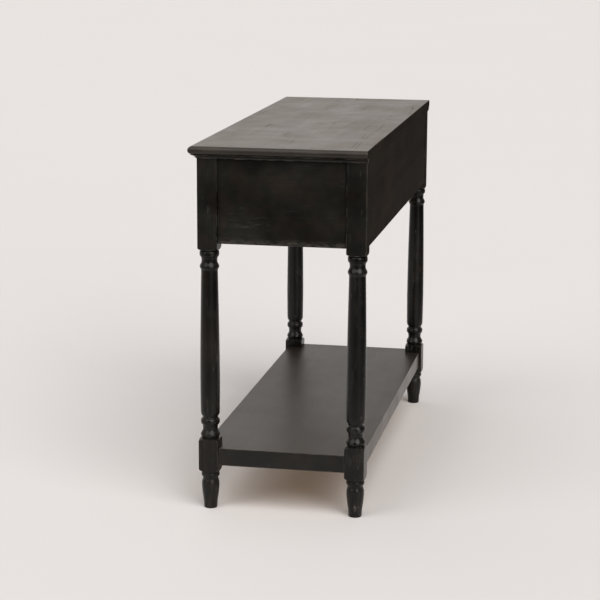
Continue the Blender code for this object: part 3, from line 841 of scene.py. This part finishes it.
def make_apron():
    """Panels and rails that end at the legs' faces, short of the tenons inside the legs."""
    leg_low, leg_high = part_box("leg_front_right")
    back_leg_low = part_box("leg_back_right")[0]
    inner_x = leg_low.x - GAP
    for word in SIDES:
        node = f"end_panel_{word}"
        low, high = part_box(node)
        low.y = leg_high.y + GAP
        high.y = back_leg_low.y - GAP
        board(node, "table", PAINT_END, "black_paint", low, high, PANEL_ARRIS)
    for node, material in (
        ("back_panel", PAINT_BACK),
        ("front_top_rail", PAINT["X"]),
        ("front_bottom_rail", PAINT["X"]),
    ):
        low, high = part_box(node)
        low.x = -inner_x
        high.x = inner_x
        board(node, "table", material, "black_paint", low, high, PANEL_ARRIS)
    board("drawer_divider", "table", PAINT["Z"], "black_paint", arris=DIVIDER_ARRIS)


# Drawer runners, guides and stops


def make_drawer_ways():
    for word in ("left", "centre", "right"):
        board(f"drawer_runner_{word}", "table", PINE["Y"], "raw_wood")
        board(f"drawer_guide_{word}", "table", PINE["Y"], "raw_wood")
    for word in SIDES:
        board(f"drawer_stop_{word}", "table", PINE["Y"], "raw_wood")


# Screws

POLE = 0.0001  # smallest radius of a turned outline
SCREW_RADIUS = 0.0019
SCREW_POINT = 0.0030  # length of the tapered end
SCREW_BLUNT = 0.0008  # length of the blunt end of the taper
SCREW_HEAD_RADIUS = 0.0042
SCREW_HEAD_HEIGHT = 0.0024
SCREW_HEAD_FLAT = 0.0022  # radius of the head's flat outer face
SCREW_HEAD_RIM = 0.0004
RECESS_REACH = 0.0024
RECESS_WIDTH = 0.0009
RECESS_DEPTH = 0.0013
RECESS_TAPER = 0.6
TOP_SCREWS = 6


def screw_profile(length):
    """A pan head whose outer end is at height 0, and its shank up to the point."""
    head = SCREW_HEAD_HEIGHT
    crown = head - SCREW_HEAD_RIM
    tip = head + length
    return [
        (POLE, tip),
        (SCREW_RADIUS * 0.45, tip - SCREW_BLUNT),
        (SCREW_RADIUS, tip - SCREW_POINT),
        (SCREW_RADIUS, head),
        (SCREW_HEAD_RADIUS, head),
        *arc((SCREW_HEAD_FLAT, crown), (SCREW_HEAD_RADIUS - SCREW_HEAD_FLAT, crown), 0, -90, 10),
        (POLE, 0.0),
    ]


def recess_mesh():
    """A cross that narrows with depth, to be cut into a screw's head."""
    rings = []
    for share, height in ((1.0, -RECESS_DEPTH), (RECESS_TAPER, RECESS_DEPTH)):
        ring = []
        for quarter in range(4):
            turn = Matrix.Rotation(math.radians(90 * quarter), 3, "Z")
            reach = RECESS_REACH * share
            wide = RECESS_WIDTH / 2
            for x, y in ((reach, -wide), (reach, wide), (wide, wide)):
                ring.append(turn @ Vector((x, y, height)))
        rings.append(ring)
    return mesh_of(closed_tube(rings))


def screw_piece(name, node, body, length, place):
    """A screw with a cross recess, moved to its place."""
    mesh = lathe_mesh(screw_profile(length), 48)
    mesh.transform(place)
    piece = finish_piece(name, mesh, ZINC, "zinc_steel", body, node)
    cutter = bpy.data.objects.new("recess", recess_mesh())
    cutter.data.transform(place)
    bpy.context.scene.collection.objects.link(cutter)
    cut(piece, cutter)
    bpy.data.objects.remove(cutter)


def make_top_screws():
    for number in range(1, TOP_SCREWS + 1):
        node = f"top_screw_{number}"
        low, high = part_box(node)
        middle = (low + high) / 2
        place = Matrix.Translation((middle.x, middle.y, low.z))
        screw_piece(f"{node}_fine", node, "table", high.z - low.z - SCREW_HEAD_HEIGHT, place)


# Drawers

KNOB_RADIUS = 0.015
KNOB_RIM = 0.003  # radius of the knob's rounded rim
KNOB_CROWN = 0.0045  # how far its face is domed
KNOB_NECK = 0.0058
KNOB_BASE = 0.0085
KNOB_EASE = 0.0004
DRAWER_FRONT_ARRIS = 0.0012
PLYWOOD_ARRIS = 0.0003


def knob_profile(reach):
    """(radius, height) of a knob that stands out by the reach, from its face to its base."""
    inside_rim = KNOB_RADIUS - KNOB_RIM
    widest = reach - 0.0065
    collar = KNOB_NECK + KNOB_EASE
    return [
        (POLE, reach),
        *arc((0.0, reach - KNOB_CROWN), (KNOB_RADIUS * 0.9, KNOB_CROWN), 84, 25, 14),
        *arc((inside_rim, widest), (KNOB_RIM, 0.0035), 60, -80, 18),
        *arc((inside_rim, 0.0085), (KNOB_NECK - inside_rim, 0.008), 80, 10, 14),
        (KNOB_NECK, 0.0055),
        *arc((collar, 0.0030), (KNOB_BASE - collar, 0.0020), 90, 0, 8),
        (KNOB_BASE, KNOB_EASE),
        (KNOB_BASE - KNOB_EASE, 0.0),
    ]


def make_drawer(word):
    """A drawer whose sides and bottom sit in grooves cut to their shapes."""
    body = f"drawer_{word}"
    front = board(f"{body}_front", body, PAINT["X"], "black_paint", arris=DRAWER_FRONT_ARRIS)
    bottom = board(f"{body}_bottom", body, PLYWOOD, "plywood", arris=PLYWOOD_ARRIS)
    board(f"{body}_back", body, PINE["X"], "raw_wood")
    sides = [board(f"{body}_side_{side}", body, PINE["Y"], "raw_wood") for side in SIDES]
    cut(front, bottom, *sides)
    for side in sides:
        cut(side, bottom)

    node = f"{body}_knob"
    low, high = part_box(node)
    middle = (low + high) / 2
    outward = Matrix.Rotation(math.radians(90), 4, "X")
    mesh = lathe_mesh(knob_profile(high.y - low.y), 72)
    mesh.transform(Matrix.Translation((middle.x, high.y, middle.z)) @ outward)
    finish_piece(f"{node}_turned", mesh, BRASS, "aged_brass", body, node)

    node = f"{body}_knob_screw"
    low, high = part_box(node)
    length = high.y - low.y - SCREW_HEAD_HEIGHT
    place = Matrix.Translation((middle.x, high.y, middle.z)) @ outward
    screw_piece(f"{node}_fine", node, body, length, place)


# Shelf

SHELF_FLAT = 0.99


def make_shelf():
    """A thick board, notched at each corner for a leg. Its underside isn't painted."""
    low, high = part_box("lower_shelf")
    leg_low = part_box("leg_front_right")[0]
    leg_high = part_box("leg_front_right")[1]
    back_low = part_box("leg_back_right")[0]
    notch_x = leg_low.x - GAP
    notch_front = leg_high.y + GAP
    notch_back = back_low.y - GAP
    corners = [
        (notch_x, low.y),
        (notch_x, notch_front),
        (high.x, notch_front),
        (high.x, notch_back),
        (notch_x, notch_back),
        (notch_x, high.y),
    ]
    outline = corners + [(-x, y) for x, y in reversed(corners)]
    shape = bmesh.new()
    under = [shape.verts.new((x, y, low.z)) for x, y in outline]
    face = shape.faces.new(under)
    lifted = bmesh.ops.extrude_face_region(shape, geom=[face])["geom"]
    verts = [part for part in lifted if isinstance(part, bmesh.types.BMVert)]
    bmesh.ops.translate(shape, vec=(0, 0, high.z - low.z), verts=verts)
    ease(shape, BOARD_ARRIS)
    mesh = mesh_of(shape)
    node = "lower_shelf"
    piece = finish_piece(f"{node}_board", mesh, PAINT_SHELF, "black_paint", "table", node)
    # The long edges take the lighter paint: a painted reflection.
    refinish(piece, PAINT_SHELF_SIDE_LIT, lambda face: abs(face.normal.y) > SHELF_FLAT)
    # The end faces take the darker paint: painted shade.
    refinish(piece, PAINT_SHELF_END_SHADED, lambda face: abs(face.normal.x) > SHELF_FLAT)
    refinish(piece, PINE["X"], lambda face: face.normal.z < -SHELF_FLAT)
    even_shading(piece)


# CAD nodes that keep their own shape


def paint_nodes():
    for name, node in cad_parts.items():
        if name.startswith("drawer_kicker"):
            node.material_slots[0].material = PINE["Y"]
        if name.startswith("shelf_dowel"):
            node.material_slots[0].material = PINE["X"]


# Floor, light and camera

FLOOR_HALF = 60.0
FLOOR_DROP = 0.0002  # keeps the floor just clear of the feet
FLOOR_DARK = rgba(0.620, 0.606, 0.604)
FLOOR_LIGHT = rgba(0.628, 0.614, 0.612)
FLOOR_FADE_X = (1.15, 1.75)  # the floor thins out between these distances past the right end
FLOOR_FADE_Y = (0.95, 1.60)  # and between these behind the table
AMBIENT = 0.02
GLOW_TINT = rgba(1.0, 0.955, 0.915)
BACKDROP = rgba(0.722, 0.694, 0.686)
LAMP_TINT = (1.0, 0.98, 0.962)

# Broad glows: (azimuth, elevation, outer and inner radius in degrees, strength)
GLOWS = (
    (270, 14, 42, 14, 0.36),
    (315, 30, 50, 20, 0.86),
    (225, 30, 50, 20, 0.22),
    (100, 72, 45, 20, 0.80),
)

# Soft lamps: (name, azimuth, elevation, spread in degrees, strength)
LAMPS = (
    ("key_light", 128, 48, 50, 2.15),
    ("low_key_light", 126, 14, 30, 0.85),
    ("fill_light", 49, 44, 48, 0.95),
    ("low_fill_light", 49, 14, 30, 0.40),
)

CAMERA_PLACE = (4.11825, 0.74697, 1.24652)
CAMERA_YAW = 0.18906  # radians, as are the pitch and the roll
CAMERA_PITCH = 0.21073
CAMERA_ROLL = 0.00444
CAMERA_LENS = 113.06  # millimetres, on a sensor 36 mm wide


def make_floor():
    """A plain floor that thins out into the backdrop past the right end and behind the table."""
    shape = bmesh.new()
    bmesh.ops.create_grid(shape, x_segments=4, y_segments=4, size=FLOOR_HALF)
    constants = {"Roughness": 0.9, "Specular IOR Level": 0.1}
    material, graph, shader = new_material("studio_floor", constants)
    place = graph.place()
    shade = graph.noise(place, 0.7, 1.0)
    graph.put(shader.inputs["Base Color"], graph.mixed(shade, FLOOR_DARK, FLOOR_LIGHT))
    spot = graph.add("SeparateXYZ", {0: place}).outputs
    beside = graph.ranged(spot["X"], *FLOOR_FADE_X, 1.0, 0.0)
    behind = graph.ranged(spot["Y"], *FLOOR_FADE_Y, 1.0, 0.0)
    graph.put(shader.inputs["Alpha"], graph.times(beside, behind))
    mesh = mesh_of(shape)
    mesh.materials.append(material)
    floor = bpy.data.objects.new("studio_floor", mesh)
    floor.location.z = -FLOOR_DROP
    bpy.context.scene.collection.objects.link(floor)


def toward(azimuth, elevation):
    """The direction of a light. Azimuth 0 is at -Y and 90 at +X."""
    turn = math.radians(azimuth)
    lift = math.radians(elevation)
    level = math.cos(lift)
    return Vector((math.sin(turn) * level, -math.cos(turn) * level, math.sin(lift)))


def make_world():
    """Broad glows round and above the table. Where it is seen directly, it is a plain backdrop."""
    world = bpy.data.worlds.new("studio")
    world.use_nodes = True
    bpy.context.scene.world = world
    graph = Graph(world.node_tree)
    background = world.node_tree.nodes["Background"]
    way = graph.add("TexCoord").outputs["Generated"]
    light = AMBIENT
    for azimuth, elevation, outer, inner, strength in GLOWS:
        inputs = {0: way, 1: toward(azimuth, elevation)}
        turn = graph.add("VectorMath", inputs, operation="DOT_PRODUCT").outputs["Value"]
        low = math.cos(math.radians(outer))
        high = math.cos(math.radians(inner))
        light = graph.plus(graph.ranged(turn, low, high, 0.0, strength), light)
    colour = graph.mixed(light, rgba(0.0, 0.0, 0.0), GLOW_TINT)
    seen = graph.add("LightPath").outputs["Is Camera Ray"]
    graph.put(background.inputs["Color"], graph.mixed(seen, colour, BACKDROP))
    background.inputs["Strength"].default_value = 1.0


def make_lamp(name, azimuth, elevation, spread, strength):
    """A soft light from far away."""
    away = toward(azimuth, elevation)
    lamp = bpy.data.lights.new(name, "SUN")
    lamp.angle = math.radians(spread)
    lamp.energy = strength
    lamp.color = LAMP_TINT
    light = bpy.data.objects.new(name, lamp)
    light.location = 3 * away
    light.rotation_mode = "QUATERNION"
    light.rotation_quaternion = (-away).to_track_quat("-Z", "Y")
    bpy.context.scene.collection.objects.link(light)


def make_camera():
    level = math.cos(CAMERA_PITCH)
    across = level * math.cos(CAMERA_YAW)
    aside = level * math.sin(CAMERA_YAW)
    forward = Vector((-across, -aside, -math.sin(CAMERA_PITCH)))
    right = forward.cross(Vector((0, 0, 1))).normalized()
    up = right.cross(forward)
    cosine = math.cos(CAMERA_ROLL)
    sine = math.sin(CAMERA_ROLL)
    right, up = right * cosine + up * sine, up * cosine - right * sine
    turn = Matrix((right, up, -forward)).transposed()
    data = bpy.data.cameras.new("camera")
    data.lens = CAMERA_LENS
    data.sensor_width = 36.0
    data.clip_end = 200.0
    camera = bpy.data.objects.new("camera", data)
    camera.matrix_world = Matrix.Translation(CAMERA_PLACE) @ turn.to_4x4()
    bpy.context.scene.collection.objects.link(camera)
    bpy.context.scene.camera = camera


# The scene

make_legs()
make_top()
make_mouldings()
make_apron()
make_drawer_ways()
make_top_screws()
for side_word in SIDES:
    make_drawer(side_word)
make_shelf()
paint_nodes()
make_floor()
make_world()
for lamp_row in LAMPS:
    make_lamp(*lamp_row)
make_camera()
bpy.context.scene.view_settings.view_transform = "Standard"
